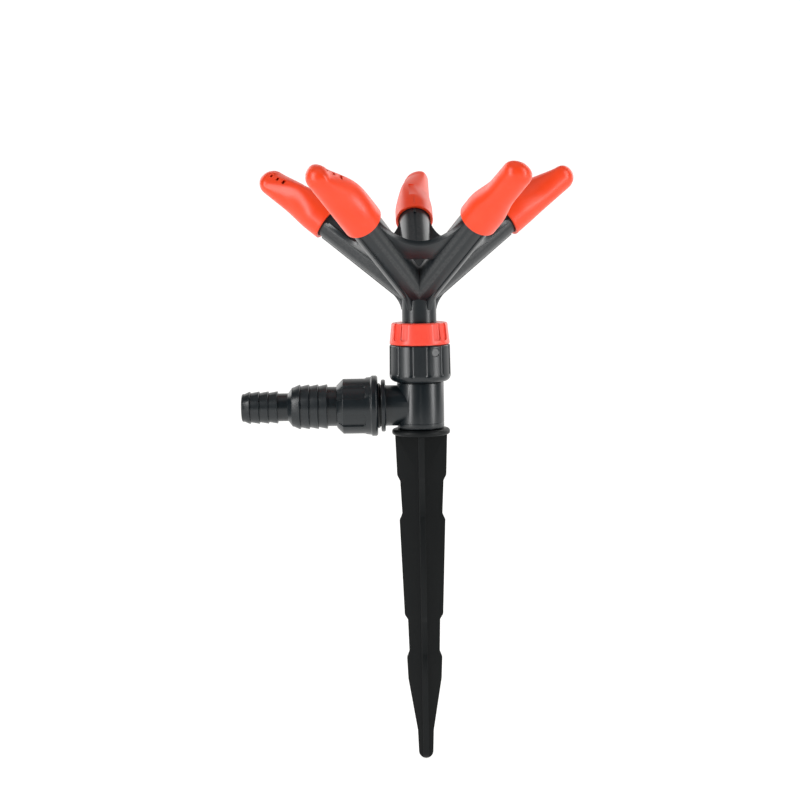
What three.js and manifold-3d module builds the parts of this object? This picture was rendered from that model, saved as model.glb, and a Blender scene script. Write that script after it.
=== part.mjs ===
// Five-arm rotating garden sprinkler on a ground stake.
// Millimetres, +Z up. The origin is on the stake axis at the ground line, which is the
// underside of the stake's flange. The hose inlet points to -X.

import * as THREE from 'three';
import { mergeVertices } from 'three/addons/utils/BufferGeometryUtils.js';
import Module from 'manifold-3d';

const wasm = await Module();
wasm.setup();

// ---------------------------------------------------------------- driving dimensions

// Free play between neighbouring pieces.
const clearance = { seat: 0.25, slide: 0.3, thread: 0.3, seal: 0.2 };

// Facets around one turn, and steps along a cap's body and its rounded tip.
const facets = { body: 20, arm: 14, cap: 14, section: 5, web: 6, corner: 2, tip: 5, gusset: 8 };
const capSteps = { outside: [9, 3], chamber: [5, 2] };

const overshoot = 1; // how far a cutting tool runs past the face that it opens

const stake = {
  length: 149.2,
  bladeThickness: 2.5,
  topHalfWidth: 11.7,
  taper: 0.036,
  notchCount: 2,
  notchLength: 20.3,
  notchInset: 1.35,
  notchRamp: 2.2,
  topMargin: 18.6,
  lowerMargin: 8.8,
  pointLength: 37.4,
  tipLength: 13.2,
  tipRadius: 3.3,
  flangeRadius: 13,
  flangeThickness: 2.6,
  flangeEdge: 1.1,
  plugRadius: 7,
  plugLength: 5.3,
};

const oRing = { section: 0.55, grooveWidth: 1.8 };

const thread = { crestRadius: 10.1, depth: 0.8, pitch: 1.814, crestWidth: 0.5 };

const tee = {
  bodyStep: 0.4, // how far the body stands out past the thread
  branchStep: 1, // how far the branch lies under the thread's crest
  branchFoot: 1.15,
  branchHeadroom: 1.4,
  neckLength: 9.8,
  branchBore: 4.6,
  inletBore: 6.6,
  inletBoreStart: 11,
  stopRingClearance: 2,
  stopRingWidth: 2,
  stopRingHeight: 2.6,
  stopRingEdge: 0.5,
  threadLength: 10.5,
};

const washer = { thickness: 1.6, bore: 6.6 };

const nut = {
  gap: 1.5,
  wall: 2.3,
  draft: 0.25,
  flangeWidth: 3.1,
  flangeHeight: 0.85,
  flangeEdge: 0.6,
  endWall: 3.4,
  coneLength: 2.9,
  coneWall: 0.6,
  fluteCount: 6,
  fluteAngle: -55,
  fluteWidth: 6.8,
  fluteSetback: 5.3,
  fluteDepth: 0.9,
  fluteCorner: 1.2,
};

const barb = {
  flangeThickness: 1.95,
  pipeRadius: 8.85,
  pipeLength: 4.3,
  large: { pitch: 4.03, count: 4, rise: 1.15, valleyRise: 0.35 },
  noseLength: 3.61,
  shoulderLength: 1.6,
  neckRadius: 6.25,
  neckLength: 4.9,
  small: { pitch: 4.1, count: 4, rise: 1, valleyRise: 0.3 },
  leadLength: 3.8,
  endRounding: 0.7,
  bore: 4.4,
  boreStepSetback: 5.4,
  boreStepLength: 4,
};

const socket = {
  wall: 3.3,
  draft: 0.2,
  lowerRounding: 2.9,
  washerThickness: 1,
  floorThickness: 7,
  shoulderDrop: 1.65,
  neckWall: 1.7,
  grooveCount: 12,
  grooveAngle: -105,
  grooveWidth: 2.5,
  grooveDepth: 0.6,
  grooveFoot: 2.6,
  grooveCorner: 1.15,
  gateAngle: -59,
  gateDrop: 2.85,
  gateRadius: 1.95,
  gateDepth: 0.35,
};

const bearing = { washerThickness: 0.9 };

const spindle = {
  noseRadius: 6.5,
  noseLength: 6.9,
  flangeThickness: 2,
  bossLength: 2.2,
  tubeRadius: 5.6,
  tubeLength: 9.9,
  bore: 3.9,
};

const retainer = {
  wall: 1.95,
  draft: 0.9,
  lipThickness: 3.45,
  lipOverlap: 1.55,
  topRounding: 0.8,
  lowerBevel: 0.4,
  pairCount: 4,
  pairAngle: -43,
  pocketOffset: 10.5,
  pocketWidth: 3.6,
  pocketFoot: 2,
  pocketDepth: 0.6,
  pocketCorner: 0.9,
};

const head = {
  armCount: 5,
  firstArmAngle: 19.5,
  armElevation: 37.8,
  stemLength: 12.85,
  stemRadius: 7.65,
  hubHeight: 3,
  armRadius: 7.1,
  armBore: 5,
  hubBore: 4.8,
  rimDistance: 52.4,
  spigotLength: 12,
  sealDistance: 6,
  webThickness: 1.8,
  webInnerRadius: 20.9,
  webEdgeGap: 1.4,
  scallopRadius: 25,
  scallopCentre: 54,
  gussetThickness: 2.4,
  gussetReach: 14.8,
  gussetDrop: 7.2,
  seamWidth: 1,
  seamHeight: 0.55,
  indexLength: 3,
  indexWidth: 1.1,
  indexHeight: 0.8,
};

const cap = {
  length: 38.5,
  rimWall: 1.3,
  wall: 1.45,
  shoulderStart: 6,
  shoulderEnd: 21,
  beakHalfWidth: 6.4,
  beakOffset: -2.2,
  slantLength: 19.55,
  slantSlope: 0.504,
  slantSoftness: 3,
  tipRounding: 5.7,
  tipSweep: 78, // how far round the tip's rounding runs
  crownSharpness: 1.25,
  sprayAngle: 141,
  slotTurn: -12,
  slots: [
    { fromTip: 11.5, along: 1.2, across: 2.2 },
    { fromTip: 8, along: 0.9, across: 1.7 },
    { fromTip: 4.5, along: 0.7, across: 1.6 },
  ],
};

// ---------------------------------------------------------------- derived places

const radians = (degrees) => THREE.MathUtils.degToRad(degrees);

const teeBottom = stake.flangeThickness + clearance.seat;
const teeBodyRadius = thread.crestRadius + tee.bodyStep;
const branchRadius = thread.crestRadius - tee.branchStep;
const branchHeight = teeBottom + tee.branchFoot + branchRadius;
const teeShoulder = branchHeight + branchRadius + tee.branchHeadroom;
const teeTop = teeShoulder + tee.neckLength;
const teeBore = stake.plugRadius + clearance.slide;

const socketBottom = teeShoulder + clearance.seat;
const socketWasherBase = teeTop + clearance.seat;
const socketFloor = socketWasherBase + socket.washerThickness + clearance.seat;
const chamberFloor = socketFloor + socket.floorThickness;
const socketShoulder = chamberFloor - socket.shoulderDrop;
const socketBore = spindle.noseRadius + clearance.slide;
const socketThreadBore = thread.crestRadius + clearance.thread;
const socketRadius = socketThreadBore + socket.wall;
const socketTopRadius = socketRadius - socket.draft;

const retainerLipBore = head.stemRadius + clearance.slide;
const chamberRadius = retainerLipBore + retainer.lipOverlap;
const bearingRadius = chamberRadius - clearance.slide;
const socketNeckRadius = chamberRadius + socket.neckWall;
const retainerBore = socketNeckRadius + clearance.thread;
const retainerRadius = retainerBore + retainer.wall;
const retainerTopRadius = retainerRadius - retainer.draft;

const lowerWasherBase = chamberFloor + clearance.seat;
const flangeBase = lowerWasherBase + bearing.washerThickness + clearance.seat;
const flangeTop = flangeBase + spindle.flangeThickness;
const upperWasherBase = flangeTop + clearance.seat;
const lipBase = upperWasherBase + bearing.washerThickness + clearance.seat;
const socketNeckTop = lipBase - clearance.seat;
const retainerBase = socketShoulder + clearance.seat;
const retainerTop = lipBase + retainer.lipThickness;

const bossTop = flangeTop + spindle.bossLength;
const stemBottom = bossTop + clearance.seat;
const stemBore = spindle.tubeRadius + clearance.thread;
const spindleTop = bossTop + spindle.tubeLength;
const convergeHeight = retainerTop + head.stemLength;

const capBore = head.armRadius + clearance.slide;
const capRadius = capBore + cap.rimWall;
const armEnd = head.rimDistance + head.spigotLength;
const armTilt = Math.PI / 2 - radians(head.armElevation);

// Along the inlet branch, measured from the stake axis.
const stopRingStart = socketRadius + tee.stopRingClearance;
const nutStart = stopRingStart + tee.stopRingWidth + nut.gap;
const branchEnd = nutStart + tee.threadLength;
const washerStart = branchEnd + clearance.seat;
const tailFlangeStart = washerStart + washer.thickness + clearance.seat;
const tailFlangeEnd = tailFlangeStart + barb.flangeThickness;
const nutWallStart = tailFlangeEnd + clearance.seat;
const nutEnd = nutWallStart + nut.endWall;
const nutThreadBore = thread.crestRadius + clearance.thread;
const nutPipeBore = barb.pipeRadius + clearance.slide;
const largeBarbStart = nutEnd + barb.pipeLength;
const noseEnd = largeBarbStart + (barb.large.count - 1) * barb.large.pitch + barb.noseLength;
const neckStart = noseEnd + barb.shoulderLength;
const smallBarbStart = neckStart + barb.neckLength;
const tailEnd = smallBarbStart + (barb.small.count - 1) * barb.small.pitch + barb.leadLength;

// ---------------------------------------------------------------- geometry helpers

function signedVolume(positions, triangles) {
  const a = new THREE.Vector3();
  const b = new THREE.Vector3();
  const c = new THREE.Vector3();
  let volume = 0;
  for (let i = 0; i < triangles.length; i += 3) {
    a.fromArray(positions, 3 * triangles[i]);
    b.fromArray(positions, 3 * triangles[i + 1]);
    c.fromArray(positions, 3 * triangles[i + 2]);
    volume += a.dot(b.cross(c)) / 6;
  }
  return volume;
}

// A closed three.js geometry as a solid, with its shared points merged and its faces outwards.
function solidOf(geometry) {
  const bare = geometry.clone();
  bare.deleteAttribute('normal');
  bare.deleteAttribute('uv');
  const merged = mergeVertices(bare, 1e-4);
  const positions = merged.attributes.position.array;
  const index = merged.index.array;
  const triangles = [];
  for (let i = 0; i < index.length; i += 3) {
    const [a, b, c] = [index[i], index[i + 1], index[i + 2]];
    if (a !== b && b !== c && c !== a) {
      triangles.push(a, b, c);
    }
  }
  if (signedVolume(positions, triangles) < 0) {
    triangles.reverse();
  }
  return new wasm.Manifold(new wasm.Mesh({
    numProp: 3,
    vertProperties: new Float32Array(positions),
    triVerts: new Uint32Array(triangles),
  }));
}

function geometryOf(solid) {
  const mesh = solid.getMesh();
  const geometry = new THREE.BufferGeometry();
  geometry.setAttribute('position', new THREE.BufferAttribute(mesh.vertProperties, 3));
  geometry.setIndex(new THREE.BufferAttribute(mesh.triVerts, 1));
  geometry.computeVertexNormals();
  return geometry;
}

// A solid turned about +Z. The profile is a list of [radius, height] that starts and ends
// on the axis, or is closed on itself by closedRing.
function revolve(profile, around = facets.body) {
  const points = profile.map(([radius, height]) => new THREE.Vector2(radius, height));
  return new THREE.LatheGeometry(points, around).rotateX(Math.PI / 2);
}

function disc(radius, low, high, around = facets.body) {
  return revolve([[0, low], [radius, low], [radius, high], [0, high]], around);
}

function tubeRing(inner, outer, low, high) {
  return revolve([[inner, low], [outer, low], [outer, high], [inner, high], [inner, low]]);
}

// Points on an arc of a profile, angles in degrees from the +radius direction.
function arc(centreRadius, centreHeight, radius, from, to, steps) {
  const points = [];
  for (let i = 0; i <= steps; i += 1) {
    const angle = radians(from + ((to - from) * i) / steps);
    points.push([centreRadius + radius * Math.cos(angle), centreHeight + radius * Math.sin(angle)]);
  }
  return points;
}

// Thread ridges, from low to high, on a root that lies one thread depth under the crest.
function threadRidges(low, high) {
  const root = thread.crestRadius - thread.depth;
  const flank = (thread.pitch - 2 * thread.crestWidth) / 2;
  const turns = Math.floor((high - low) / thread.pitch);
  const points = [[root, low]];
  for (let i = 0; i < turns; i += 1) {
    const start = low + i * thread.pitch;
    points.push([root, start + thread.crestWidth / 2]);
    points.push([thread.crestRadius, start + thread.crestWidth / 2 + flank]);
    points.push([thread.crestRadius, start + (3 * thread.crestWidth) / 2 + flank]);
  }
  points.push([root, low + turns * thread.pitch]);
  points.push([root, high]);
  return points;
}

// A block that leans on no corner: x, y and z run from the first corner to the second.
function block(low, high) {
  const size = new THREE.Vector3(...high).sub(new THREE.Vector3(...low));
  const centre = new THREE.Vector3(...high).add(new THREE.Vector3(...low)).multiplyScalar(0.5);
  return new THREE.BoxGeometry(size.x, size.y, size.z).translate(centre.x, centre.y, centre.z);
}

// A window with two rounded lower corners, cut towards +X, open at its top.
function pocketTool(width, foot, top, corner, reach) {
  const half = width / 2;
  const outline = new THREE.Shape();
  outline.moveTo(-half, top);
  outline.lineTo(-half, foot + corner);
  outline.absarc(-half + corner, foot + corner, corner, Math.PI, 1.5 * Math.PI, false);
  outline.lineTo(half - corner, foot);
  outline.absarc(half - corner, foot + corner, corner, 1.5 * Math.PI, 2 * Math.PI, false);
  outline.lineTo(half, top);
  const tool = new THREE.ExtrudeGeometry(outline, {
    depth: reach,
    bevelEnabled: false,
    curveSegments: facets.corner,
  });
  return tool.rotateX(Math.PI / 2).rotateZ(Math.PI / 2);
}

// The same tool repeated around +Z and kept off the core, so that it cuts to an even depth.
function cutAround(body, tool, core, angles) {
  let result = body;
  for (const angle of angles) {
    const turned = solidOf(tool.clone().rotateZ(radians(angle)));
    result = result.subtract(turned.subtract(core));
  }
  return result;
}

function evenAngles(first, count) {
  return Array.from({ length: count }, (_, i) => first + (360 * i) / count);
}

// ---------------------------------------------------------------- materials

const plastic = (color, roughness) => new THREE.MeshStandardMaterial({ color, roughness, metalness: 0 });

const charcoal = () => plastic(0x2a2d2f, 0.42);
const stakeBlack = () => plastic(0x1b1d1e, 0.6);
const orange = () => plastic(0xff4a24, 0.35);
const coral = () => plastic(0xf9453a, 0.35);
const rubber = () => plastic(0x141414, 0.85);
const acetal = () => plastic(0xe9e6dc, 0.4);

const sprinkler = new THREE.Group();

function addPiece(parent, name, geometry, material) {
  const mesh = new THREE.Mesh(geometry, material);
  mesh.name = name;
  parent.add(mesh);
  return mesh;
}

// A seal ring, its facets in line with those of the groove that it lies in.
function sealRing(rootRadius, around = facets.body) {
  const centre = rootRadius + clearance.seal + oRing.section;
  const ring = new THREE.TorusGeometry(centre, oRing.section, facets.section, around);
  return ring.rotateZ(Math.PI / 2);
}

// Radius of an O-ring groove's floor that lets the ring fill the gap up to a bore.
function grooveFloor(boreRadius) {
  return boreRadius - 2 * (oRing.section + clearance.seal);
}

// ---------------------------------------------------------------- stake

function bladeHalfWidth(depth) {
  return stake.topHalfWidth - stake.taper * depth;
}

// One pair of opposite blades: a flat plate in the XZ plane with the notches of both edges.
function bladePlate() {
  const straight = stake.length - stake.pointLength;
  const spread = straight - stake.topMargin - stake.lowerMargin - stake.notchLength;
  const edge = [[bladeHalfWidth(0), -stake.flangeEdge]];
  for (let i = 0; i < stake.notchCount; i += 1) {
    const start = stake.topMargin + (spread * i) / (stake.notchCount - 1);
    const end = start + stake.notchLength;
    edge.push([bladeHalfWidth(start), start]);
    edge.push([bladeHalfWidth(start) - stake.notchInset, start + stake.notchRamp]);
    edge.push([bladeHalfWidth(end) - stake.notchInset, end - stake.notchRamp]);
    edge.push([bladeHalfWidth(end), end]);
  }
  edge.push([bladeHalfWidth(straight), straight]);
  edge.push([stake.tipRadius, stake.length - stake.tipLength]);
  const outline = new THREE.Shape();
  outline.moveTo(edge[0][0], -edge[0][1]);
  edge.slice(1).forEach(([half, depth]) => outline.lineTo(half, -depth));
  outline.lineTo(stake.tipRadius, stake.tipRadius - stake.length);
  outline.absarc(0, stake.tipRadius - stake.length, stake.tipRadius, 0, -Math.PI, true);
  outline.lineTo(-stake.tipRadius, stake.tipLength - stake.length);
  edge.slice().reverse().forEach(([half, depth]) => outline.lineTo(-half, -depth));
  const plate = new THREE.ExtrudeGeometry(outline, {
    depth: stake.bladeThickness,
    bevelEnabled: false,
    curveSegments: facets.tip,
  });
  return plate.translate(0, 0, -stake.bladeThickness / 2).rotateX(Math.PI / 2);
}

function stakeFlangeAndPlug() {
  const edge = stake.flangeEdge;
  const rim = stake.flangeRadius - edge;
  const plugTop = stake.flangeThickness + stake.plugLength;
  const grooveTop = plugTop - oRing.grooveWidth / 2;
  const floor = grooveFloor(teeBore);
  return revolve([
    [0, 0],
    [rim, 0],
    ...arc(rim, edge, edge, -60, 0, 3),
    ...arc(rim, stake.flangeThickness - edge, edge, 0, 60, 3),
    [rim, stake.flangeThickness],
    [stake.plugRadius, stake.flangeThickness],
    [stake.plugRadius, grooveTop - oRing.grooveWidth],
    [floor, grooveTop - oRing.grooveWidth],
    [floor, grooveTop],
    [stake.plugRadius, grooveTop],
    [stake.plugRadius, plugTop],
    [0, plugTop],
  ]);
}

function addStake() {
  const across = solidOf(bladePlate());
  const along = solidOf(bladePlate().rotateZ(Math.PI / 2));
  const solid = solidOf(stakeFlangeAndPlug()).add(across).add(along);
  addPiece(sprinkler, 'ground_stake', geometryOf(solid), stakeBlack());
  const seal = addPiece(sprinkler, 'stake_plug_seal', sealRing(grooveFloor(teeBore)), rubber());
  seal.position.z = stake.flangeThickness + stake.plugLength - oRing.grooveWidth;
}

// ---------------------------------------------------------------- inlet tee

const towardInlet = new THREE.Matrix4()
  .makeTranslation(0, 0, branchHeight)
  .multiply(new THREE.Matrix4().makeRotationY(-Math.PI / 2));

function addTee() {
  const column = revolve([
    [0, teeBottom],
    [teeBodyRadius, teeBottom],
    [teeBodyRadius, teeShoulder],
    ...threadRidges(teeShoulder, teeTop),
    [0, teeTop],
  ]);
  const ringEnd = stopRingStart + tee.stopRingWidth;
  const ringRadius = branchRadius + tee.stopRingHeight;
  const edge = tee.stopRingEdge;
  const branch = revolve([
    [0, 0],
    [branchRadius, 0],
    [branchRadius, stopRingStart],
    [ringRadius - edge, stopRingStart],
    [ringRadius, stopRingStart + edge],
    [ringRadius, ringEnd - edge],
    [ringRadius - edge, ringEnd],
    ...threadRidges(ringEnd, branchEnd),
    [0, branchEnd],
  ]);
  const branchBore = revolve([
    [0, 0],
    [tee.branchBore, 0],
    [tee.branchBore, tee.inletBoreStart],
    [tee.inletBore, tee.inletBoreStart],
    [tee.inletBore, branchEnd + overshoot],
    [0, branchEnd + overshoot],
  ]);
  const solid = solidOf(column)
    .add(solidOf(branch.applyMatrix4(towardInlet)))
    .subtract(solidOf(disc(teeBore, teeBottom - overshoot, teeTop + overshoot)))
    .subtract(solidOf(branchBore.applyMatrix4(towardInlet)));
  addPiece(sprinkler, 'inlet_tee', geometryOf(solid), charcoal());
}

// ---------------------------------------------------------------- inlet side: nut and hose tail

// In this group +Z is the way along the branch, away from the stake axis.
const inlet = new THREE.Group();
inlet.applyMatrix4(towardInlet);
sprinkler.add(inlet);

// The nut's outside, moved inwards by inset.
function nutOutside(inset) {
  const flangeEnd = nutStart + nut.flangeWidth;
  const edge = nut.flangeEdge;
  const bodyRadius = nutThreadBore + nut.wall - inset;
  const flangeRadius = bodyRadius + nut.flangeHeight;
  return [
    [flangeRadius - edge, nutStart],
    [flangeRadius, nutStart + edge],
    [flangeRadius, flangeEnd - edge],
    [bodyRadius + nut.draft, flangeEnd],
    [bodyRadius, nutEnd - nut.coneLength],
    [nutPipeBore + nut.coneWall - inset, nutEnd],
  ];
}

function addUnionNut() {
  const shell = revolve([
    [nutThreadBore, nutStart],
    ...nutOutside(0),
    [nutPipeBore, nutEnd],
    [nutPipeBore, nutWallStart],
    [nutThreadBore, nutWallStart],
    [nutThreadBore, nutStart],
  ]);
  const core = revolve([[0, nutStart], ...nutOutside(nut.fluteDepth), [0, nutEnd]]);
  const foot = nutStart + nut.fluteSetback;
  const top = nutEnd + overshoot;
  const flute = pocketTool(nut.fluteWidth, foot, top, nut.fluteCorner, 2 * nutThreadBore);
  const angles = evenAngles(nut.fluteAngle, nut.fluteCount);
  const solid = cutAround(solidOf(shell), flute, solidOf(core), angles);
  addPiece(inlet, 'union_nut', geometryOf(solid), charcoal());
}

// Sawtooth rings on a pipe: a steep face towards the nut and a slope towards the hose end.
function barbTeeth({ pitch, count, rise, valleyRise }, pipeRadius, first) {
  const points = [[pipeRadius, first]];
  for (let i = 0; i < count; i += 1) {
    points.push([pipeRadius + rise, first + i * pitch]);
    if (i < count - 1) {
      points.push([pipeRadius + valleyRise, first + (i + 1) * pitch]);
    }
  }
  return points;
}

function addHoseTail() {
  const flangeRadius = nutThreadBore - clearance.slide;
  const rounding = barb.endRounding;
  const boreStep = noseEnd - barb.boreStepSetback;
  const profile = revolve([
    [washer.bore, tailFlangeStart],
    [flangeRadius, tailFlangeStart],
    [flangeRadius, tailFlangeEnd],
    [barb.pipeRadius, tailFlangeEnd],
    ...barbTeeth(barb.large, barb.pipeRadius, largeBarbStart),
    [barb.pipeRadius, noseEnd],
    [barb.neckRadius, neckStart],
    ...barbTeeth(barb.small, barb.neckRadius, smallBarbStart),
    [barb.neckRadius, tailEnd - rounding],
    [barb.neckRadius - rounding, tailEnd],
    [barb.bore, tailEnd],
    [barb.bore, boreStep + barb.boreStepLength],
    [washer.bore, boreStep],
    [washer.bore, tailFlangeStart],
  ]);
  addPiece(inlet, 'hose_tail', geometryOf(solidOf(profile)), charcoal());
  const flatWasher = tubeRing(washer.bore, flangeRadius, washerStart, washerStart + washer.thickness);
  addPiece(inlet, 'inlet_washer', geometryOf(solidOf(flatWasher)), rubber());
}

// ---------------------------------------------------------------- swivel socket

function socketOutside(inset) {
  const rounding = socket.lowerRounding;
  return [
    ...arc(socketRadius - rounding - inset, socketBottom + rounding, rounding, -80, 0, 5),
    [socketTopRadius - inset, socketShoulder],
  ];
}

function addSocket() {
  const shell = revolve([
    [socketThreadBore, socketBottom],
    ...socketOutside(0),
    [socketNeckRadius, socketShoulder],
    [socketNeckRadius, socketNeckTop],
    [chamberRadius, socketNeckTop],
    [chamberRadius, chamberFloor],
    [socketBore, chamberFloor],
    [socketBore, socketFloor],
    [socketThreadBore, socketFloor],
    [socketThreadBore, socketBottom],
  ]);
  const core = revolve([
    [0, socketBottom - overshoot],
    ...socketOutside(socket.grooveDepth),
    [socketTopRadius - socket.grooveDepth, socketShoulder + overshoot],
    [0, socketShoulder + overshoot],
  ]);
  const foot = socketBottom + socket.grooveFoot;
  const top = socketShoulder + overshoot;
  const groove = pocketTool(socket.grooveWidth, foot, top, socket.grooveCorner, 2 * socketRadius);
  const angles = evenAngles(socket.grooveAngle, socket.grooveCount);
  const gateFloor = socketTopRadius - socket.gateDepth;
  const gate = disc(socket.gateRadius, gateFloor, 2 * socketRadius, facets.arm)
    .rotateY(Math.PI / 2)
    .rotateZ(radians(socket.gateAngle))
    .translate(0, 0, socketShoulder - socket.gateDrop);
  const solid = cutAround(solidOf(shell), groove, solidOf(core), angles).subtract(solidOf(gate));
  addPiece(sprinkler, 'swivel_socket', geometryOf(solid), charcoal());
  const washerRadius = socketThreadBore - clearance.slide;
  const washerTop = socketWasherBase + socket.washerThickness;
  const flatWasher = tubeRing(teeBore, washerRadius, socketWasherBase, washerTop);
  addPiece(sprinkler, 'socket_washer', geometryOf(solidOf(flatWasher)), rubber());
}

// ---------------------------------------------------------------- retaining ring

function retainerOutside(inset) {
  const rounding = retainer.topRounding;
  const bevel = retainer.lowerBevel;
  return [
    [retainerRadius - bevel - inset, retainerBase],
    [retainerRadius - inset, retainerBase + bevel],
    ...arc(retainerTopRadius - rounding - inset, retainerTop - rounding, rounding, 0, 80, 3),
  ];
}

function addRetainer() {
  const shell = revolve([
    [retainerBore, retainerBase],
    ...retainerOutside(0),
    [retainerLipBore, retainerTop],
    [retainerLipBore, lipBase],
    [retainerBore, lipBase],
    [retainerBore, retainerBase],
  ]);
  const core = revolve([
    [0, retainerBase],
    ...retainerOutside(retainer.pocketDepth),
    [0, retainerTop],
  ]);
  const foot = retainerBase + retainer.pocketFoot;
  const top = retainerTop + overshoot;
  const reach = 2 * retainerRadius;
  const pocket = pocketTool(retainer.pocketWidth, foot, top, retainer.pocketCorner, reach);
  const angles = evenAngles(retainer.pairAngle, retainer.pairCount)
    .flatMap((angle) => [angle - retainer.pocketOffset, angle + retainer.pocketOffset]);
  const solid = cutAround(solidOf(shell), pocket, solidOf(core), angles);
  addPiece(sprinkler, 'retaining_ring', geometryOf(solid), coral());
}

// ---------------------------------------------------------------- spindle and bearings

function addSpindle() {
  const noseBottom = flangeBase - spindle.noseLength;
  const grooveBase = noseBottom + oRing.grooveWidth;
  const grooveTop = grooveBase + oRing.grooveWidth;
  const floor = grooveFloor(socketBore);
  const body = revolve([
    [spindle.bore, noseBottom],
    [spindle.noseRadius, noseBottom],
    [spindle.noseRadius, grooveBase],
    [floor, grooveBase],
    [floor, grooveTop],
    [spindle.noseRadius, grooveTop],
    [spindle.noseRadius, flangeBase],
    [bearingRadius, flangeBase],
    [bearingRadius, flangeTop],
    [head.stemRadius, flangeTop],
    [head.stemRadius, bossTop],
    [spindle.tubeRadius, bossTop],
    [spindle.tubeRadius, spindleTop],
    [spindle.bore, spindleTop],
    [spindle.bore, noseBottom],
  ]);
  addPiece(sprinkler, 'swivel_spindle', geometryOf(solidOf(body)), acetal());
  const seal = addPiece(sprinkler, 'spindle_seal', sealRing(floor), rubber());
  seal.position.z = (grooveBase + grooveTop) / 2;
  const lowerTop = lowerWasherBase + bearing.washerThickness;
  const lower = tubeRing(socketBore, bearingRadius, lowerWasherBase, lowerTop);
  addPiece(sprinkler, 'lower_thrust_washer', geometryOf(solidOf(lower)), acetal());
  const upperTop = upperWasherBase + bearing.washerThickness;
  const upper = tubeRing(retainerLipBore, bearingRadius, upperWasherBase, upperTop);
  addPiece(sprinkler, 'upper_thrust_washer', geometryOf(solidOf(upper)), acetal());
}

// ---------------------------------------------------------------- sprinkler head

const armAngles = evenAngles(head.firstArmAngle, head.armCount);

// The frame of one arm: +Z runs out along the arm, +Y is the way round the stem and
// +X is the arm's outer, lower side.
function armFrame(angle) {
  return new THREE.Matrix4()
    .makeTranslation(0, 0, convergeHeight)
    .multiply(new THREE.Matrix4().makeRotationZ(radians(angle)))
    .multiply(new THREE.Matrix4().makeRotationY(armTilt));
}

// One arm with its seal groove, the thin mould seam under it and its index mark.
function armOutside() {
  const grooveCentre = head.rimDistance + head.sealDistance;
  const floor = grooveFloor(capBore);
  const tube = solidOf(revolve([
    [0, 0],
    [head.armRadius, 0],
    [head.armRadius, grooveCentre - oRing.grooveWidth / 2],
    [floor, grooveCentre - oRing.grooveWidth / 2],
    [floor, grooveCentre + oRing.grooveWidth / 2],
    [head.armRadius, grooveCentre + oRing.grooveWidth / 2],
    [head.armRadius, armEnd],
    [0, armEnd],
  ], facets.arm));
  const markEnd = head.rimDistance - clearance.slide;
  const seam = block(
    [0, -head.seamWidth / 2, head.stemRadius],
    [head.armRadius + head.seamHeight, head.seamWidth / 2, markEnd - overshoot],
  );
  const index = block(
    [-head.armRadius - head.indexHeight, -head.indexWidth / 2, markEnd - head.indexLength],
    [0, head.indexWidth / 2, markEnd],
  );
  return tube.add(solidOf(seam)).add(solidOf(index));
}

// A conical band on the cone of the arm axes, scalloped between each pair of arms.
function webBand() {
  const elevation = radians(head.armElevation);
  const inner = head.webInnerRadius / Math.cos(elevation);
  const outer = head.rimDistance - head.webEdgeGap;
  const half = head.webThickness / 2;
  const corner = (distance, side) => [
    distance * Math.cos(elevation) - side * Math.sin(elevation),
    convergeHeight + distance * Math.sin(elevation) + side * Math.cos(elevation),
  ];
  const first = corner(inner, -half);
  let band = solidOf(revolve([
    first,
    corner(outer, -half),
    corner(outer, half),
    corner(inner, half),
    first,
  ], head.armCount * facets.web));
  const low = convergeHeight;
  const high = convergeHeight + 2 * head.rimDistance;
  for (const angle of evenAngles(head.firstArmAngle + 180 / head.armCount, head.armCount)) {
    const scallop = disc(head.scallopRadius, low, high)
      .translate(head.scallopCentre, 0, 0)
      .rotateZ(radians(angle));
    band = band.subtract(solidOf(scallop));
  }
  return band;
}

// A rib under one arm, from the arm's underside down to the stem in a hollow curve.
function gusset() {
  const low = convergeHeight - head.gussetDrop;
  const slope = Math.tan(radians(head.armElevation));
  const drop = head.armRadius / Math.cos(radians(head.armElevation));
  const reachHeight = convergeHeight + head.gussetReach * slope - drop;
  const outline = new THREE.Shape();
  outline.moveTo(0, low);
  outline.lineTo(head.stemRadius, low);
  outline.quadraticCurveTo(
    head.stemRadius + overshoot, (low + reachHeight) / 2,
    head.gussetReach, reachHeight,
  );
  outline.lineTo(head.gussetReach, reachHeight + overshoot);
  outline.lineTo(0, convergeHeight);
  const plate = new THREE.ExtrudeGeometry(outline, {
    depth: head.gussetThickness,
    bevelEnabled: false,
    curveSegments: facets.gusset,
  });
  return plate.translate(0, 0, -head.gussetThickness / 2).rotateX(Math.PI / 2);
}

function addHead() {
  let solid = solidOf(disc(head.stemRadius, stemBottom, convergeHeight + head.hubHeight)).add(webBand());
  const arm = geometryOf(armOutside());
  const waterway = disc(head.armBore, 0, armEnd + overshoot, facets.arm);
  for (const angle of armAngles) {
    solid = solid.add(solidOf(arm.clone().applyMatrix4(armFrame(angle))));
    solid = solid.add(solidOf(gusset().rotateZ(radians(angle))));
  }
  for (const angle of armAngles) {
    solid = solid.subtract(solidOf(waterway.clone().applyMatrix4(armFrame(angle))));
  }
  const boreStep = spindleTop + clearance.seat;
  const stemWay = revolve([
    [0, stemBottom - overshoot],
    [stemBore, stemBottom - overshoot],
    [stemBore, boreStep],
    [head.hubBore, boreStep],
    [head.hubBore, convergeHeight],
    [0, convergeHeight],
  ]);
  solid = solid.subtract(solidOf(stemWay));
  addPiece(sprinkler, 'sprinkler_head', geometryOf(solid), charcoal());
}

// ---------------------------------------------------------------- nozzle caps

const smooth = (from, to, value) => THREE.MathUtils.smoothstep(value, from, to);

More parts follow.
